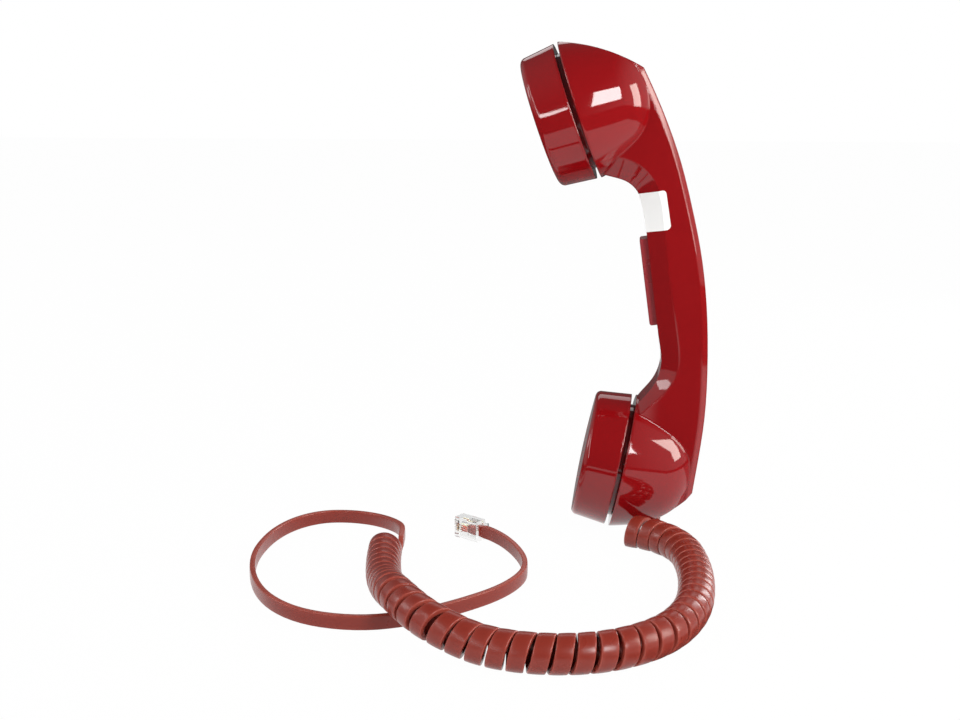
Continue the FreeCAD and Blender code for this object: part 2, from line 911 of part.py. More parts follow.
def curly_cord(corners):
    """The curled cord: its four sides, in lengths, between the curves of its corners."""
    curves = []
    for side in range(4):
        curve = Part.BSplineCurve()
        curve.interpolate(Points=[corner[side] for corner in corners], Parameters=list(range(len(corners))))
        curves.append(curve)
    print("curly_cord least gap", round(least_gap(curves), 2))
    stops = list(range(0, len(corners) - curl_steps // 2, curl_steps)) + [len(corners) - 1]
    faces = []
    for begin, end in zip(stops, stops[1:]):
        pieces = []
        for curve in curves:
            piece = curve.copy()
            piece.segment(begin, end)
            pieces.append(piece)
        for side in range(4):
            faces.append(ruled(pieces[side], pieces[(side + 1) % 4]))
    for corner in (corners[0], corners[-1]):
        faces.append(Part.Face(Part.makePolygon(list(corner) + [corner[0]])))
    skin = Part.Shell(faces)
    skin.sewShape()
    body = Part.Solid(skin)
    if body.Volume < 0:
        body.reverse()
    return body


def flat_section(middle, wide, thick):
    """The flat cord's section about a point, from its two half sizes."""
    corners = [middle + wide + thick, middle - wide + thick, middle - wide - thick, middle + wide - thick]
    return Part.makePolygon(corners + [corners[0]])


def plug_place():
    return Placement(v(plug_x, plug_y, plug_width / 2), Rotation(v(0, 0, 1), plug_turn))


def make_cord():
    """The cord from the grommet to the plug: its lead, its curls and its tail."""
    start = exit_point()
    low = start.z - exit_height
    high = start.z + grommet_neck
    neck = grommet_hole(-grommet_gap, low, high)
    long = grommet_length + 2 * grommet_lip
    head = block(long, grommet_width + 2 * grommet_lip, high, high + grommet_head, exit_x)
    top = low + grommet_slot
    slot = block(cord_width + 2 * cord_gap, cord_thick + 2 * cord_gap, low, top, exit_x)
    save("cord_grommet", neck.fuse(head).removeSplitter().cut(slot))

    line = curl_line()
    save("curly_cord", curly_cord(curl_corners(line)))
    first = (line[1][0] - line[0][0]).normalize()
    last = (line[-1][0] - line[-2][0]).normalize()

    lie = cord_thick / 2 + lie_gap
    area = cord_width * cord_thick
    join = line[0][0]
    before = join - first * lead_run
    points = [(exit_x, 0, top), (exit_x, 0, lie)] + [(x, y, lie) for x, y in lead_middle]
    points = points + [(before.x, before.y, join.z), (join.x, join.y, join.z)]
    path = routed(points, "cord_lead")
    section = flat_section(v(*points[0]), v(cord_width / 2, 0, 0), v(0, cord_thick / 2, 0))
    save("cord_lead", swept(path, section, area, "cord_lead"))

    leave, radial = line[-1]
    onward = leave + last * tail_rise
    place = plug_place()
    inside = place.multVec(v(socket_depth - cord_gap, 0, 0))
    outside = place.multVec(v(-socket_depth, 0, 0))
    points = [(leave.x, leave.y, leave.z), (onward.x, onward.y, onward.z)] + tail_middle
    points = points + [(outside.x, outside.y, outside.z), (inside.x, inside.y, inside.z)]
    path = routed(points, "cord_tail")
    wide = last.cross(radial).normalize() * (cord_width / 2)
    thick = wide.cross(last).normalize() * (cord_thick / 2)
    save("cord_tail", swept(path, flat_section(leave, wide, thick), area, "cord_tail", True))


def make_plug():
    """The clear modular plug with its blades and its latch."""
    place = plug_place()
    half = plug_height / 2
    body = Part.makeBox(plug_length, plug_height, plug_width, v(0, -half, -plug_width / 2))
    edges = [edge for edge in body.Edges if edge.BoundBox.XLength > plug_length - 0.01]
    body = body.makeChamfer(plug_chamfer, edges)
    wide = cord_width + 2 * cord_gap
    thick = cord_thick + 2 * cord_gap
    body = body.cut(Part.makeBox(socket_depth, thick, wide, v(0, -thick / 2, -wide / 2)))
    blades = []
    slot_thick = blade_thick + 2 * blade_gap
    for step in range(blade_count):
        height = blade_pitch * (step - (blade_count - 1) / 2)
        x = plug_length - blade_inset - blade_length
        corner = v(x, half - blade_depth, height - slot_thick / 2)
        body = body.cut(Part.makeBox(blade_length, blade_depth + 1, slot_thick, corner))
        blade = Part.makeBox(
            blade_length - 2 * blade_gap,
            blade_depth - blade_inset,
            blade_thick,
            v(x + blade_gap, half - blade_depth, height - blade_thick / 2),
        )
        blades.append(put(blade, place))
    save("plug_body", put(body, place))
    save("plug_blades", *blades)
    near = -half - latch_gap
    free = latch_pivot - latch_length
    outline = Part.makePolygon(
        [
            v(latch_pivot, near, 0),
            v(latch_pivot, near - latch_thick, 0),
            v(latch_pivot - latch_root, near - latch_thick, 0),
            v(free, near - latch_rise - latch_thick, 0),
            v(free, near - latch_rise, 0),
            v(latch_pivot - latch_root, near, 0),
            v(latch_pivot, near, 0),
        ]
    )
    latch = Part.Face(outline).extrude(v(0, 0, latch_width))
    latch.translate(v(0, 0, -latch_width / 2))
    save("plug_latch", put(latch, place))


if __name__ == "__main__":
    os.makedirs("parts", exist_ok=True)
    save("handset_shell", shell())
    save("receiver_cap", put(cap(ear_hole_radius, ear_hole_pitch, ear_rings), ear_place))
    save("transmitter_cap", put(cap(mouth_hole_radius, mouth_hole_pitch, mouth_rings), mouth_place))
    make_units()
    make_contact_cup()
    save("talk_bar", put(talk_bar(), bar_place))
    make_switch()
    make_leads()
    make_foam()
    make_labels()
    make_cord()
    make_plug()
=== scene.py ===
import json
import math

import bpy
import numpy as np
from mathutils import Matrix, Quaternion, Vector


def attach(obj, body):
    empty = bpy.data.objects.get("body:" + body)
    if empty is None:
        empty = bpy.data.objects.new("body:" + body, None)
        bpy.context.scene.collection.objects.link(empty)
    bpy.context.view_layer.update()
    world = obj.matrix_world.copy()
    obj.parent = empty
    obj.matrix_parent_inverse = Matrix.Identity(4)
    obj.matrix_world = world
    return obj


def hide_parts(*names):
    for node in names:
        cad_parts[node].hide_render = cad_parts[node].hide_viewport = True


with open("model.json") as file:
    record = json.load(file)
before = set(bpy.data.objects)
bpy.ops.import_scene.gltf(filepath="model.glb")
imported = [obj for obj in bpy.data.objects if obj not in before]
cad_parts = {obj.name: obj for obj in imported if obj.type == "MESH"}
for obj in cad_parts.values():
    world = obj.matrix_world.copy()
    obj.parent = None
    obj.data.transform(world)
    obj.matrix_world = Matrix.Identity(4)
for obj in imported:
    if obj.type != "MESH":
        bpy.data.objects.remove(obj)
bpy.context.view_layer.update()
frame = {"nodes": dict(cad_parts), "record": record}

# Lengths are in millimetres, as in the part's source, where nothing else is said
MM = 0.001
# The frame's x is the source's x plus this
TO_CENTRE = 0.38

# Camera: the photograph's place, and its turns in degrees
CAMERA_AT = (9.63, -590.4, 204.95)
CAMERA_DOWN = 12.155
CAMERA_LEFT = 6.861
CAMERA_LENS = 48.75
CAMERA_SENSOR = 36.0
CAMERA_NEAR = 10.0

# Cord, as in the part: a flat strip with rounded edges and slightly crowned sides
CORD_WIDTH = 5.9
CORD_THICK = 2.5
CORD_ROUND = 0.5
CORD_CROWN = 0.1
CORNER_STEPS = 4
# Points that the spline gives for each of its control points
SPLINE_STEPS = 5
# The painted edge highlight starts this many edge radii in from the strip's side
PAINTED_HIGHLIGHT_REACH = 1.2

# Lead: out of the grommet, down, and along the surface to the curls
EXIT_X = 21.0
EXIT_Z = 7.34
LEAD_TOP = 10.94
LIE = 1.3
BEND_Y = -0.4
BEND_RISE = 1.2
LIE_Y = -2.2
LEAD_MIDDLE = [(21.0, -8.1), (18.0, -15.2), (14.7, -21.7)]

# Curls: radius to the strip's middle, full turns, and control points a turn
CURL_RADIUS = 6.1
CURL_COUNT = 45
CURL_STEPS = 12
# Width of their strip at both ends, and in the stretch where their turns spread
CURL_WIDTH = 5.6
CURL_WIDE = 6.4
# That stretch along the route, its run in and out, and the share the turns spread by
CURL_SPREAD_FROM = 75.0
CURL_SPREAD_TO = 250.0
CURL_SPREAD_RAMP = 45.0
CURL_SPREAD = 0.07
# The last turns let go over this length, and lose up to this share of their winding
CURL_RELEASE = 20.0
CURL_LOOSE = 0.95
# Straight strip before the first turn and after the last
CURL_STRAIGHT = 5.0
AXIS_SPACING = 0.5
CURL_ROUTE = [
    (11.2, -33.2, 7.45),
    (20.6, -38.0, 7.45),
    (29.2, -47.4, 7.45),
    (34.6, -62.0, 7.45),
    (36.8, -92.0, 7.45),
    (33.2, -121.5, 7.45),
    (22.5, -144.0, 7.45),
    (3.8, -159.5, 7.45),
    (-19.0, -165.0, 7.45),
    (-42.0, -162.0, 8.4),
    (-62.0, -153.0, 12.6),
    (-77.0, -134.5, 14.0),
    (-87.0, -108.0, 8.8),
    (-92.4, -84.0, 7.45),
    (-95.6, -60.0, 7.45),
]

# Tail: on its edge, from the curls to the plug
TAIL_MIDDLE = [
    (-90.8, -46.5, 7.6),
    (-94.6, -36.8, 6.2),
    (-102.2, -27.2, 5.0),
    (-111.6, -19.6, 3.8),
    (-122.4, -15.6, 3.0),
    (-133.4, -17.2, 3.0),
    (-142.4, -24.6, 3.0),
    (-148.6, -36.4, 3.0),
    (-151.8, -52.5, 3.0),
    (-151.5, -75.0, 3.0),
    (-144.5, -100.0, 3.0),
    (-132.0, -121.0, 3.0),
    (-114.0, -134.5, 3.0),
    (-91.0, -137.5, 3.0),
    (-71.5, -129.5, 3.0),
    (-55.0, -115.5, 3.0),
    (-41.5, -100.5, 3.0),
    (-34.0, -84.0, 3.0),
    (-33.6, -70.5, 3.2),
    (-37.8, -57.5, 3.8),
    (-44.8, -45.3, 4.5),
]

# Plug, as in the part, on its side: the middle of its rear, its turn in degrees, and the cord's socket
PLUG_AT = (-57.5, -33.5, 4.825)
PLUG_TURN = 147.0
PLUG_SOCKET = 6.0
SOCKET_GAP = 0.2
CORD_END = PLUG_SOCKET - SOCKET_GAP
BLADE_PITCH = 1.02

# Wires inside the plug, from the cord's end to a reach that is counted from the plug's rear
WIRE_COLOURS = [(0.50, 0.07, 0.03), (0.62, 0.10, 0.03), (0.58, 0.60, 0.42), (0.72, 0.60, 0.28)]
WIRE_COUNT = len(WIRE_COLOURS)
WIRE_PITCH = 0.92
WIRE_RADIUS = 0.4
WIRE_ROUNDING = 3
WIRE_REACH = 10.2
WIRE_RUN_IN = 1.2
WIRE_RUN_OUT = 1.5
# A wire's second colour is its first times the gain, plus the lift
WIRE_GAIN = 1.3
WIRE_LIFT = 0.01

# A noise texture's values mostly lie between these two
NOISE_LOW = 0.3
NOISE_HIGH = 0.7
# Samples of the edges that are rounded in the shading only
EDGE_SAMPLES = 8
# Grain of a plain material, as a multiple of its clouds' scale
GRAIN_SCALE = 6

# Floor: how far it reaches, the white that the camera sees, and the matt white in the lamps' light
FLOOR_REACH = 4000.0
FLOOR_SHOWN = 0.985
FLOOR_MATT = 0.86

# Room: its light, and how bright reflections see it in the middle and at the sides
ROOM_LIGHT = 0.32
ROOM_MIRRORED = 0.09
ROOM_SIDES = 0.65
# How far sideways a direction points, from 0 to 1, where the sides start and where they are full
ROOM_SIDES_FROM = 0.3
ROOM_SIDES_TO = 0.95

# Painted reflection: a white sheet glowing on the floor, which only reflections see, with a painted dark
# aisle in front of the object
SHEET_RADIUS = 440.0
SHEET_SOFT = 12.0
SHEET_LEFT = -205.0
SHEET_BACK = 5.0
SHEET_BEHIND = 0.25
AISLE_X = 38.0
AISLE_LEAN = 0.035
AISLE_HALF = 18.0
AISLE_START = -120.0

# Lamps face this height; their angles are in degrees, their distance and size in metres
LAMP_AIM = 120.0
WARM = (1.0, 0.93, 0.86)
LAMPS = [
    dict(name="key", turn=33, rise=24, away=0.74, width=0.19, height=0.25, power=2.7),
    dict(name="side", turn=78, rise=19, away=0.62, width=0.22, height=0.34, power=2.4, colour=WARM),
    dict(name="rim", turn=142, rise=8, away=0.75, width=0.10, height=0.50, power=1.6),
    dict(name="left", turn=-43, rise=28, away=1.20, width=0.05, height=1.55, power=3.3, roll=51),
    dict(name="low", turn=-88, rise=19, away=1.20, width=0.30, height=0.30, power=1.6),
    dict(name="fill", turn=-58, rise=10, away=1.40, width=0.60, height=0.60, power=3.6, mirrored=False),
    dict(name="top", turn=180, rise=30, away=1.25, width=0.90, height=0.36, power=1.3),
]


def place(x, y, z):
    """A point of the part, from millimetres of its source to metres of the frame."""
    return Vector((x + TO_CENTRE, y, z)) * MM


# Nodes of the materials


def shader(name):
    """A material, and its nodes, its links and its main shader."""
    material = bpy.data.materials.new(name)
    material.use_nodes = True
    tree = material.node_tree
    return material, tree.nodes, tree.links, tree.nodes["Principled BSDF"]


def noise(nodes, links, scale, detail):
    """A noise in the object's own space, its scale in patterns a metre."""
    where = nodes.new("ShaderNodeTexCoord")
    texture = nodes.new("ShaderNodeTexNoise")
    texture.inputs["Scale"].default_value = scale
    texture.inputs["Detail"].default_value = detail
    links.new(where.outputs["Object"], texture.inputs["Vector"])
    return texture.outputs["Fac"]


def mapped(nodes, links, value, start, end, first, second, curve="LINEAR"):
    """A value that goes from the first number to the second as the given one goes from start to end."""
    step = nodes.new("ShaderNodeMapRange")
    step.interpolation_type = curve
    step.inputs["From Min"].default_value = start
    step.inputs["From Max"].default_value = end
    step.inputs["To Min"].default_value = first
    step.inputs["To Max"].default_value = second
    links.new(value, step.inputs["Value"])
    return step.outputs["Result"]


def spread(nodes, links, value, low, high):
    """A noise brought between two limits."""
    return mapped(nodes, links, value, NOISE_LOW, NOISE_HIGH, low, high)


def stepped(nodes, links, value, start, end, first, second):
    """A smooth step of a value from one number to another."""
    return mapped(nodes, links, value, start, end, first, second, "SMOOTHSTEP")


def joined(nodes, links, operation, first, second=0.0):
    """Two values, or a value and a number, joined by a sum or the like."""
    math_node = nodes.new("ShaderNodeMath")
    math_node.operation = operation
    for socket, value in zip(math_node.inputs, (first, second)):
        if isinstance(value, float):
            socket.default_value = value
        else:
            links.new(value, socket)
    return math_node.outputs["Value"]


def shown(nodes, links, path):
    """One for what the camera sees, also through glass, and nothing for other light."""
    return joined(nodes, links, "MAXIMUM", path.outputs["Is Camera Ray"], path.outputs["Is Transmission Ray"])


def tinted(nodes, links, main, value, first, second):
    """The base colour, between two colours by a value."""
    mix = nodes.new("ShaderNodeMix")
    mix.data_type = "RGBA"
    mix.inputs["A"].default_value = (*first, 1)
    mix.inputs["B"].default_value = (*second, 1)
    links.new(value, mix.inputs["Factor"])
    links.new(mix.outputs["Result"], main.inputs["Base Color"])


def bumped(nodes, links, main, height, distance, strength, edge=0.0):
    """A bump, and edges rounded in the shading only, with lengths in metres."""
    bump = nodes.new("ShaderNodeBump")
    bump.inputs["Strength"].default_value = strength
    bump.inputs["Distance"].default_value = distance
    links.new(height, bump.inputs["Height"])
    if edge:
        bevel = nodes.new("ShaderNodeBevel")
        bevel.samples = EDGE_SAMPLES
        bevel.inputs["Radius"].default_value = edge
        links.new(bevel.outputs["Normal"], bump.inputs["Normal"])
    links.new(bump.outputs["Normal"], main.inputs["Normal"])


# Materials


def moulded_red(name, deep, bright, rough, edge):
    """Glossy moulded plastic: even colour, faint flow waves, a little handling haze."""
    material, nodes, links, main = shader(name)
    cloud = noise(nodes, links, scale=18.0, detail=4.0)
    tinted(nodes, links, main, spread(nodes, links, cloud, 0, 1), deep, bright)
    haze = noise(nodes, links, scale=60.0, detail=5.0)
    links.new(spread(nodes, links, haze, *rough), main.inputs["Roughness"])
    wave = noise(nodes, links, scale=140.0, detail=2.0)
    bumped(nodes, links, main, wave, distance=0.00012, strength=0.06, edge=edge)
    main.inputs["IOR"].default_value = 1.54
    return material


def cord_jacket():
    """Satin cord jacket: a painted highlight makes the rounded edges paler than the flats, with a fine grain.
    """
    material, nodes, links, main = shader("cord_jacket")
    painted_highlight_mask = nodes.new("ShaderNodeAttribute")
    painted_highlight_mask.attribute_name = "edge"
    cloud = noise(nodes, links, scale=90.0, detail=5.0)
    painted_highlight_share = joined(nodes, links, "MULTIPLY", painted_highlight_mask.outputs["Fac"], spread(nodes, links, cloud, 0.5, 1.0))
    # Painted highlight: the second, paler colour lies along the strip's rounded edges
    tinted(nodes, links, main, painted_highlight_share, (0.222, 0.024, 0.014), (0.38, 0.074, 0.052))
    links.new(spread(nodes, links, cloud, 0.25, 0.34), main.inputs["Roughness"])
    grain = noise(nodes, links, scale=2500.0, detail=4.0)
    bumped(nodes, links, main, grain, distance=0.00004, strength=0.25)
    main.inputs["Specular IOR Level"].default_value = 0.42
    return material


def paper_label():
    """White label stock with a fine tooth."""
    material, nodes, links, main = shader("label_stock")
    cloud = noise(nodes, links, scale=120.0, detail=3.0)
    tinted(nodes, links, main, cloud, (0.86, 0.87, 0.86), (0.90, 0.91, 0.90))
    main.inputs["Roughness"].default_value = 0.42
    tooth = noise(nodes, links, scale=3000.0, detail=2.0)
    bumped(nodes, links, main, tooth, distance=0.00002, strength=0.2)
    return material


def clear_plastic():
    """Clear moulded plastic with faint flow marks."""
    material, nodes, links, main = shader("clear_plastic")
    main.inputs["Base Color"].default_value = (0.84, 0.84, 0.83, 1)
    main.inputs["Transmission Weight"].default_value = 1.0
    main.inputs["Roughness"].default_value = 0.06
    main.inputs["IOR"].default_value = 1.57
    flow = noise(nodes, links, scale=900.0, detail=2.0)
    bumped(nodes, links, main, flow, distance=0.00003, strength=0.3, edge=0.00025)
    return material


def plain(name, first, second, rough, metal=0.0, scale=300.0, specular=0.5):
    """Any hidden or small piece: two close colours and a fine grain."""
    material, nodes, links, main = shader(name)
    cloud = noise(nodes, links, scale, detail=3.0)
    tinted(nodes, links, main, cloud, first, second)
    main.inputs["Metallic"].default_value = metal
    main.inputs["Specular IOR Level"].default_value = specular
    main.inputs["Roughness"].default_value = rough
    grain = noise(nodes, links, scale * GRAIN_SCALE, detail=2.0)
    bumped(nodes, links, main, grain, distance=0.00003, strength=0.3)
    return material


def dress_nodes():
    """Every carried-over solid gets the material of its slot."""
    looks = {
        "red_plastic": moulded_red(
            "red_gloss", (0.218, 0.0028, 0.0044), (0.246, 0.0038, 0.0056), rough=(0.04, 0.07), edge=0.0014
        ),
        "bar_plastic": moulded_red(
            "red_satin", (0.270, 0.018, 0.024), (0.300, 0.024, 0.032), rough=(0.26, 0.34), edge=0.0005
        ),
        "label": paper_label(),
        "cord_jacket": cord_jacket(),
        "clear_plastic": clear_plastic(),
        "gold_contacts": plain("gold", (0.78, 0.52, 0.18), (0.86, 0.62, 0.26), rough=0.22, metal=1.0),
        "black_plastic": plain("black_moulded", (0.018, 0.018, 0.018), (0.035, 0.034, 0.033), rough=0.42),
        "bright_metal": plain("bright_metal", (0.55, 0.55, 0.54), (0.66, 0.66, 0.65), rough=0.30, metal=1.0),
        "magnet_steel": plain("magnet", (0.22, 0.22, 0.23), (0.32, 0.32, 0.33), rough=0.45, metal=1.0),
        "copper_winding": plain("winding", (0.45, 0.17, 0.07), (0.60, 0.27, 0.12), rough=0.35, metal=0.9),
        "brass_terminals": plain("brass", (0.62, 0.45, 0.16), (0.74, 0.56, 0.24), rough=0.30, metal=1.0),
        "spring_metal": plain("spring_wire", (0.42, 0.42, 0.43), (0.55, 0.55, 0.56), rough=0.28, metal=1.0),
        "seal_rubber": plain(
            "seal_rubber", (0.004, 0.004, 0.004), (0.008, 0.008, 0.008), rough=0.8, specular=0.05
        ),
        "lead_insulation": plain("lead_insulation", (0.30, 0.012, 0.012), (0.42, 0.03, 0.03), rough=0.4),
        "foam": plain("foam", (0.10, 0.10, 0.11), (0.17, 0.17, 0.18), rough=0.9, scale=1500.0),
    }
    for entry in frame["record"]["subparts"]:
        mesh = frame["nodes"][entry["node"]].data
        mesh.materials.clear()
        mesh.materials.append(looks[entry["material_slot"]])
    # Clear plastic lets the light through, so the plug's body darkens nothing under it
    frame["nodes"]["plug_body"].visible_shadow = False
    return looks


# Cord


def smooth_line(points, spacing):
    """Points a spacing apart on a smooth curve through the given ones."""
    points = np.array(points, float)
    knots = np.concatenate([[0.0], np.cumsum(np.linalg.norm(np.diff(points, axis=0), axis=1))])
    slopes = np.zeros_like(points)
    slopes[1:-1] = (points[2:] - points[:-2]) / (knots[2:] - knots[:-2])[:, None]
    slopes[0] = 1.5 * (points[1] - points[0]) / knots[1] - 0.5 * slopes[1]
    slopes[-1] = 1.5 * (points[-1] - points[-2]) / (knots[-1] - knots[-2]) - 0.5 * slopes[-2]
    count = int(knots[-1] / spacing) + 1
    line = []
    for gone in np.linspace(0.0, knots[-1], count):
        at = min(int(np.searchsorted(knots, gone, side="right")) - 1, len(points) - 2)
        span = knots[at + 1] - knots[at]
        t = (gone - knots[at]) / span
        line.append(
            (2 * t**3 - 3 * t**2 + 1) * points[at]
            + (t**3 - 2 * t**2 + t) * span * slopes[at]
            + (3 * t**2 - 2 * t**3) * points[at + 1]
            + (t**3 - t**2) * span * slopes[at + 1]
        )
    return np.array(line)


def curl_axis():
    """The curls' axis, its heading and length, and the share wound and the strip's width at its points."""
    line = smooth_line(CURL_ROUTE, AXIS_SPACING)
    steps = np.linalg.norm(np.diff(line, axis=0), axis=1)
    gone = np.concatenate([[0.0], np.cumsum(steps)])
    heading = np.gradient(line, gone, axis=0)
    heading /= np.linalg.norm(heading, axis=1)[:, None]
    bend = np.linalg.norm(np.gradient(heading, gone, axis=0), axis=1)
    loose = np.clip(1 - (gone[-1] - gone) / CURL_RELEASE, 0, 1) ** 2
    inside = np.clip(np.minimum(gone - CURL_SPREAD_FROM, CURL_SPREAD_TO - gone) / CURL_SPREAD_RAMP, 0, 1)
    pitch = 1 + CURL_SPREAD * inside
    density = (1 - (CURL_RADIUS + CORD_THICK / 2) * bend) * (1 - CURL_LOOSE * loose) / pitch
    wound = np.concatenate([[0.0], np.cumsum((density[1:] + density[:-1]) / 2 * steps)])
    width = CURL_WIDTH + (CURL_WIDE - CURL_WIDTH) * inside
    return line, heading, gone, wound / wound[-1], width


def curls():
    """Control points of the curls, each with the direction of the cord's thin side and its width."""
    line, heading, gone, wound, width = curl_axis()
    count = CURL_COUNT * CURL_STEPS + CURL_STEPS // 4
    # The spline runs inside its control points, so they stand further out than the radius
    swell = 4 / (3 + math.cos(2 * math.pi / CURL_STEPS))
    points = []
    for step in range(count + 1):
        at = np.interp(step / count, wound, gone)
        centre = np.array([np.interp(at, gone, line[:, side]) for side in range(3)])
        ahead = np.array([np.interp(at, gone, heading[:, side]) for side in range(3)])
        across = np.cross(ahead, (0, 0, 1))
        across /= np.linalg.norm(across)
        above = np.cross(across, ahead)
        above /= np.linalg.norm(above)
        angle = 2 * math.pi * step / CURL_STEPS - math.pi / 2
        radial = across * math.cos(angle) + above * math.sin(angle)
        share = (1 + swell) / 2 if step in (0, count) else swell
        points.append((centre + radial * CURL_RADIUS * share, radial, np.interp(at, gone, width)))
        if step == 0:
            entry = (centre + radial * CURL_RADIUS - across * CURL_STRAIGHT, radial, CURL_WIDTH)
    onward = ahead / np.linalg.norm(ahead) * CURL_STRAIGHT
    leave = (centre + radial * CURL_RADIUS + onward, radial, CURL_WIDTH)
    return [entry] + points + [leave]


def plug_nose():
    """The direction that the plug points in."""
    turn = math.radians(PLUG_TURN)
    return np.array((math.cos(turn), math.sin(turn), 0.0))


def cord_points():
    """The whole cord's control points, thin directions and widths, from the exit to the plug."""
    down = np.array((0.0, 0.0, -1.0))
    front = np.array((0.0, -1.0, 0.0))
    rows = [
        ((EXIT_X, 0.0, LEAD_TOP), front, CORD_WIDTH),
        ((EXIT_X, 0.0, EXIT_Z), front, CORD_WIDTH),
        ((EXIT_X, BEND_Y, LIE + BEND_RISE), front + down, CORD_WIDTH),
        ((EXIT_X, LIE_Y, LIE), down, CORD_WIDTH),
    ]
    rows += [((x, y, LIE), down, CORD_WIDTH) for x, y in LEAD_MIDDLE]
    wound = curls()
    rows += wound
    nose = plug_nose()
    rear = np.array(PLUG_AT)
    tail = [np.array(point) for point in TAIL_MIDDLE]
    tail += [rear - nose * PLUG_SOCKET, rear, rear + nose * CORD_END]
    # At its very end the strip is as wide as its wires
    widths = [CORD_WIDTH] * (len(tail) - 1) + [WIRE_PITCH * WIRE_COUNT]
    before = wound[-1][0]
    for here, after, width in zip(tail, tail[1:] + [tail[-1] + nose], widths):
        flow = after - before
        flow = np.array((flow[0], flow[1], 0.0))
        across = np.cross(flow, (0, 0, 1))
        across /= np.linalg.norm(across)
        rows.append((here, across, width))
        before = here
    return rows


def spline_points(points, name):
    """The points of a smooth spline that has the given ones as its control points."""
    data = bpy.data.curves.new(name, "CURVE")
    data.dimensions = "3D"
    spline = data.splines.new("NURBS")
    spline.points.add(len(points) - 1)
    for target, point in zip(spline.points, points):
        target.co = (*point, 1)
    spline.order_u = 3
    spline.use_endpoint_u = True
    spline.resolution_u = SPLINE_STEPS
    holder = bpy.data.objects.new(name, data)
    bpy.context.scene.collection.objects.link(holder)
    mesh = bpy.data.meshes.new_from_object(holder)
    line = np.array([vertex.co[:] for vertex in mesh.vertices])
    bpy.data.objects.remove(holder)
    bpy.data.curves.remove(data)
    bpy.data.meshes.remove(mesh)
    return line


def cord_section(width):
    """The flat cord's section, with small rounded edges, as pairs across and through it."""
    half = width / 2 - CORD_ROUND
    deep = CORD_THICK / 2 - CORD_ROUND - CORD_CROWN
    crown = CORD_THICK / 2 - CORD_CROWN / 4
    section = []
    for corner in range(4):
        right = 1 if corner in (0, 3) else -1
        up = 1 if corner < 2 else -1
        for step in range(CORNER_STEPS + 1):
            angle = math.radians(90 * corner + 90 / CORNER_STEPS * step)
            across = right * half + CORD_ROUND * math.cos(angle)
            through = up * deep + CORD_ROUND * math.sin(angle)
            section.append((across, through))
        if corner in (0, 2):
            section += [(up * half / 2, up * crown), (0.0, up * CORD_THICK / 2), (-up * half / 2, up * crown)]
    return section


def painted_edge_highlight(across, width):
    """How strong the painted edge highlight is at a distance from its middle: nothing on the flat, one at the
    edge.
    """
    return min(1.0, max(0.0, (abs(across) - width / 2 + CORD_ROUND * PAINTED_HIGHLIGHT_REACH) / CORD_ROUND))


def make_cord(looks):
    """The flat cord in one piece, swept along its spline."""
    rows = cord_points()
    middle = spline_points([place(*point) for point, thin, width in rows], "cord_middle")
    offset = [place(*(np.array(point) + thin / np.linalg.norm(thin))) for point, thin, width in rows]
    outer = spline_points(offset, "cord_outer")
    count = len(middle)
    widths = np.interp(np.linspace(0, 1, count), np.linspace(0, 1, len(rows)), [row[2] for row in rows])
    tangent = np.gradient(middle, axis=0)
    tangent /= np.linalg.norm(tangent, axis=1)[:, None]
    thin = outer - middle
    thin -= tangent * np.sum(thin * tangent, axis=1)[:, None]
    thin /= np.linalg.norm(thin, axis=1)[:, None]
    wide = np.cross(tangent, thin)
    vertices = []
    painted_highlight_values = []
    for here in range(count):
        section = cord_section(widths[here])
        for across, through in section:
            vertices.append(middle[here] + (wide[here] * across + thin[here] * through) * MM)
            painted_highlight_values.append(painted_edge_highlight(across, widths[here]))
    size = len(section)
    faces = []
    for here in range(count - 1):
        for corner in range(size):
            right = (corner + 1) % size
            a = here * size
            faces.append((a + corner, a + right, a + size + right, a + size + corner))
    faces.append(tuple(reversed(range(size))))
    faces.append(tuple(range((count - 1) * size, count * size)))
    mesh = bpy.data.meshes.new("cord")
    mesh.from_pydata([tuple(vertex) for vertex in vertices], [], faces)
    # The edge attribute carries the painted edge highlight
    mesh.attributes.new("edge", "FLOAT", "POINT").data.foreach_set("value", painted_highlight_values)
    mesh.polygons.foreach_set("use_smooth", [True] * len(mesh.polygons))
    mesh.materials.append(looks["cord_jacket"])
    cord = bpy.data.objects.new("cord", mesh)
    bpy.context.scene.collection.objects.link(cord)
    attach(cord, "handset")
    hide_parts("cord_lead", "curly_cord", "cord_tail")
    make_wires()


def make_wires():
    """The four insulated wires that go on from the cord's end to the blades, inside the clear plug."""
    nose = plug_nose()
    data = bpy.data.curves.new("plug_wires", "CURVE")
    data.dimensions = "3D"
    data.bevel_depth = WIRE_RADIUS * MM
    data.bevel_resolution = WIRE_ROUNDING
    reach = (CORD_END, CORD_END + WIRE_RUN_IN, WIRE_REACH - WIRE_RUN_OUT, WIRE_REACH)
    pitches = (WIRE_PITCH, WIRE_PITCH, BLADE_PITCH, BLADE_PITCH)
    for step, colour in enumerate(WIRE_COLOURS):
        share = step - (WIRE_COUNT - 1) / 2
        spline = data.splines.new("NURBS")
        spline.points.add(len(reach) - 1)
        for target, along, pitch in zip(spline.points, reach, pitches):
            at = np.array(PLUG_AT) + nose * along
            target.co = (*place(at[0], at[1], at[2] + share * pitch), 1)
        spline.order_u = 3
        spline.use_endpoint_u = True
        spline.material_index = step
        lighter = tuple(part * WIRE_GAIN + WIRE_LIFT for part in colour)
        data.materials.append(plain("wire_" + str(step + 1), colour, lighter, rough=0.35, scale=900.0))
    wires = bpy.data.objects.new("plug_wires", data)
    bpy.context.scene.collection.objects.link(wires)
    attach(wires, "handset")
    return wires


# Stage


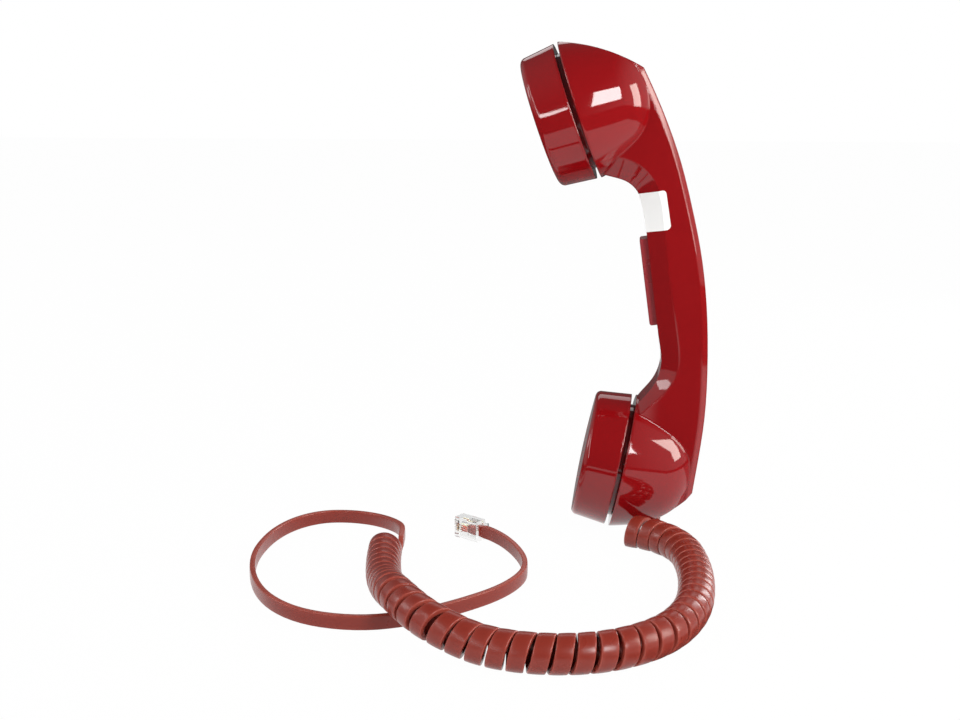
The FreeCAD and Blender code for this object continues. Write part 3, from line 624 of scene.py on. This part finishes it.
def painted_floor_reflection(nodes, links):
    """Painted reflection: what reflections see of the floor, a glowing white sheet, dim behind the object,
    with a dark aisle in front.
    """
    where = nodes.new("ShaderNodeTexCoord")
    split = nodes.new("ShaderNodeSeparateXYZ")
    links.new(where.outputs["Object"], split.inputs["Vector"])
    x, y = split.outputs["X"], split.outputs["Y"]
    across = joined(nodes, links, "MULTIPLY", x, x)
    along = joined(nodes, links, "MULTIPLY", y, y)
    radius = joined(nodes, links, "SQRT", joined(nodes, links, "ADD", across, along))
    lean = joined(nodes, links, "ADD", x, joined(nodes, links, "MULTIPLY", y, AISLE_LEAN))
    aside = joined(nodes, links, "ABSOLUTE", joined(nodes, links, "SUBTRACT", lean, AISLE_X * MM))
    behind = joined(nodes, links, "ADD", y, -AISLE_START * MM)
    away = joined(nodes, links, "MAXIMUM", aside, behind)
    inner = (SHEET_RADIUS - SHEET_SOFT) * MM
    outer = (SHEET_RADIUS + SHEET_SOFT) * MM
    white = stepped(nodes, links, radius, inner, outer, 1.0, 0.0)
    for value, start, first, second in (
        (away, AISLE_HALF, 0.0, 1.0),
        (x, SHEET_LEFT, 0.0, 1.0),
        (y, SHEET_BACK, 1.0, SHEET_BEHIND),
    ):
        end = start + SHEET_SOFT
        part = stepped(nodes, links, value, start * MM, end * MM, first, second)
        white = joined(nodes, links, "MULTIPLY", white, part)
    return joined(nodes, links, "MAXIMUM", white, ROOM_MIRRORED)


def make_stage():
    """A white floor that shows the object's faint shadow."""
    half = FLOOR_REACH * MM
    corners = [(-half, -half, 0.0), (half, -half, 0.0), (half, half, 0.0), (-half, half, 0.0)]
    mesh = bpy.data.meshes.new("floor")
    mesh.from_pydata(corners, [], [(0, 1, 2, 3)])
    floor = bpy.data.objects.new("floor", mesh)
    bpy.context.scene.collection.objects.link(floor)
    material = bpy.data.materials.new("floor_white")
    material.use_nodes = True
    nodes = material.node_tree.nodes
    links = material.node_tree.links
    nodes.clear()
    output = nodes.new("ShaderNodeOutputMaterial")
    matt = nodes.new("ShaderNodeBsdfDiffuse")
    matt.inputs["Color"].default_value = (FLOOR_MATT, FLOOR_MATT, FLOOR_MATT, 1)
    white = nodes.new("ShaderNodeEmission")
    path = nodes.new("ShaderNodeLightPath")
    glossy = path.outputs["Is Glossy Ray"]
    direct = joined(nodes, links, "SUBTRACT", 1.0, glossy)
    # For reflections the floor glows with this painted reflection instead of its matt shading
    mirrored = joined(nodes, links, "MULTIPLY", glossy, painted_floor_reflection(nodes, links))
    links.new(joined(nodes, links, "ADD", direct, mirrored), white.inputs["Strength"])
    seen = joined(nodes, links, "MULTIPLY", shown(nodes, links, path), FLOOR_SHOWN)
    mix = nodes.new("ShaderNodeMixShader")
    links.new(joined(nodes, links, "MAXIMUM", seen, glossy), mix.inputs["Fac"])
    links.new(matt.outputs["BSDF"], mix.inputs[1])
    links.new(white.outputs["Emission"], mix.inputs[2])
    links.new(mix.outputs["Shader"], output.inputs["Surface"])
    floor.data.materials.append(material)


def make_world():
    """White for the camera, a dim room with paler sides in reflections, an even light elsewhere."""
    world = bpy.data.worlds.new("studio")
    bpy.context.scene.world = world
    world.use_nodes = True
    nodes = world.node_tree.nodes
    links = world.node_tree.links
    nodes.clear()
    output = nodes.new("ShaderNodeOutputWorld")
    path = nodes.new("ShaderNodeLightPath")
    where = nodes.new("ShaderNodeTexCoord")
    split = nodes.new("ShaderNodeSeparateXYZ")
    links.new(where.outputs["Generated"], split.inputs["Vector"])
    sideways = joined(nodes, links, "ABSOLUTE", split.outputs["X"])
    mirrored = stepped(nodes, links, sideways, ROOM_SIDES_FROM, ROOM_SIDES_TO, ROOM_MIRRORED, ROOM_SIDES)
    room = nodes.new("ShaderNodeMapRange")
    room.inputs["To Min"].default_value = ROOM_LIGHT
    links.new(mirrored, room.inputs["To Max"])
    links.new(path.outputs["Is Glossy Ray"], room.inputs["Value"])
    light = nodes.new("ShaderNodeBackground")
    light.inputs["Color"].default_value = (1, 1, 1, 1)
    strength = joined(nodes, links, "MAXIMUM", room.outputs["Result"], shown(nodes, links, path))
    links.new(strength, light.inputs["Strength"])
    links.new(light.outputs["Background"], output.inputs["Surface"])


def make_lamp(name, turn, rise, away, width, height, power, colour=(1, 1, 1), mirrored=True, roll=0):
    """A soft rectangular lamp that faces the object, from angles to the right and up."""
    data = bpy.data.lights.new(name, "AREA")
    data.shape = "RECTANGLE"
    data.size = width
    data.size_y = height
    data.energy = power
    data.color = colour
    lamp = bpy.data.objects.new(name, data)
    bpy.context.scene.collection.objects.link(lamp)
    turn = math.radians(turn)
    rise = math.radians(rise)
    toward = Vector((math.sin(turn) * math.cos(rise), -math.cos(turn) * math.cos(rise), math.sin(rise)))
    lamp.location = Vector((0.0, 0.0, LAMP_AIM * MM)) + toward * away
    facing = toward.to_track_quat("Z", "Y") @ Quaternion((0, 0, 1), math.radians(roll))
    lamp.rotation_euler = facing.to_euler()
    lamp.visible_camera = False
    lamp.visible_glossy = mirrored


def make_camera():
    """The photograph's camera."""
    data = bpy.data.cameras.new("camera")
    data.lens = CAMERA_LENS
    data.sensor_width = CAMERA_SENSOR
    data.sensor_fit = "HORIZONTAL"
    data.clip_start = CAMERA_NEAR * MM
    camera = bpy.data.objects.new("camera", data)
    bpy.context.scene.collection.objects.link(camera)
    camera.location = Vector(CAMERA_AT) * MM
    camera.rotation_euler = (math.radians(90 - CAMERA_DOWN), 0, math.radians(CAMERA_LEFT))
    bpy.context.scene.camera = camera


looks = dress_nodes()
make_cord(looks)
make_stage()
make_world()
for lamp in LAMPS:
    make_lamp(**lamp)
make_camera()
bpy.context.scene.view_settings.view_transform = "Standard"
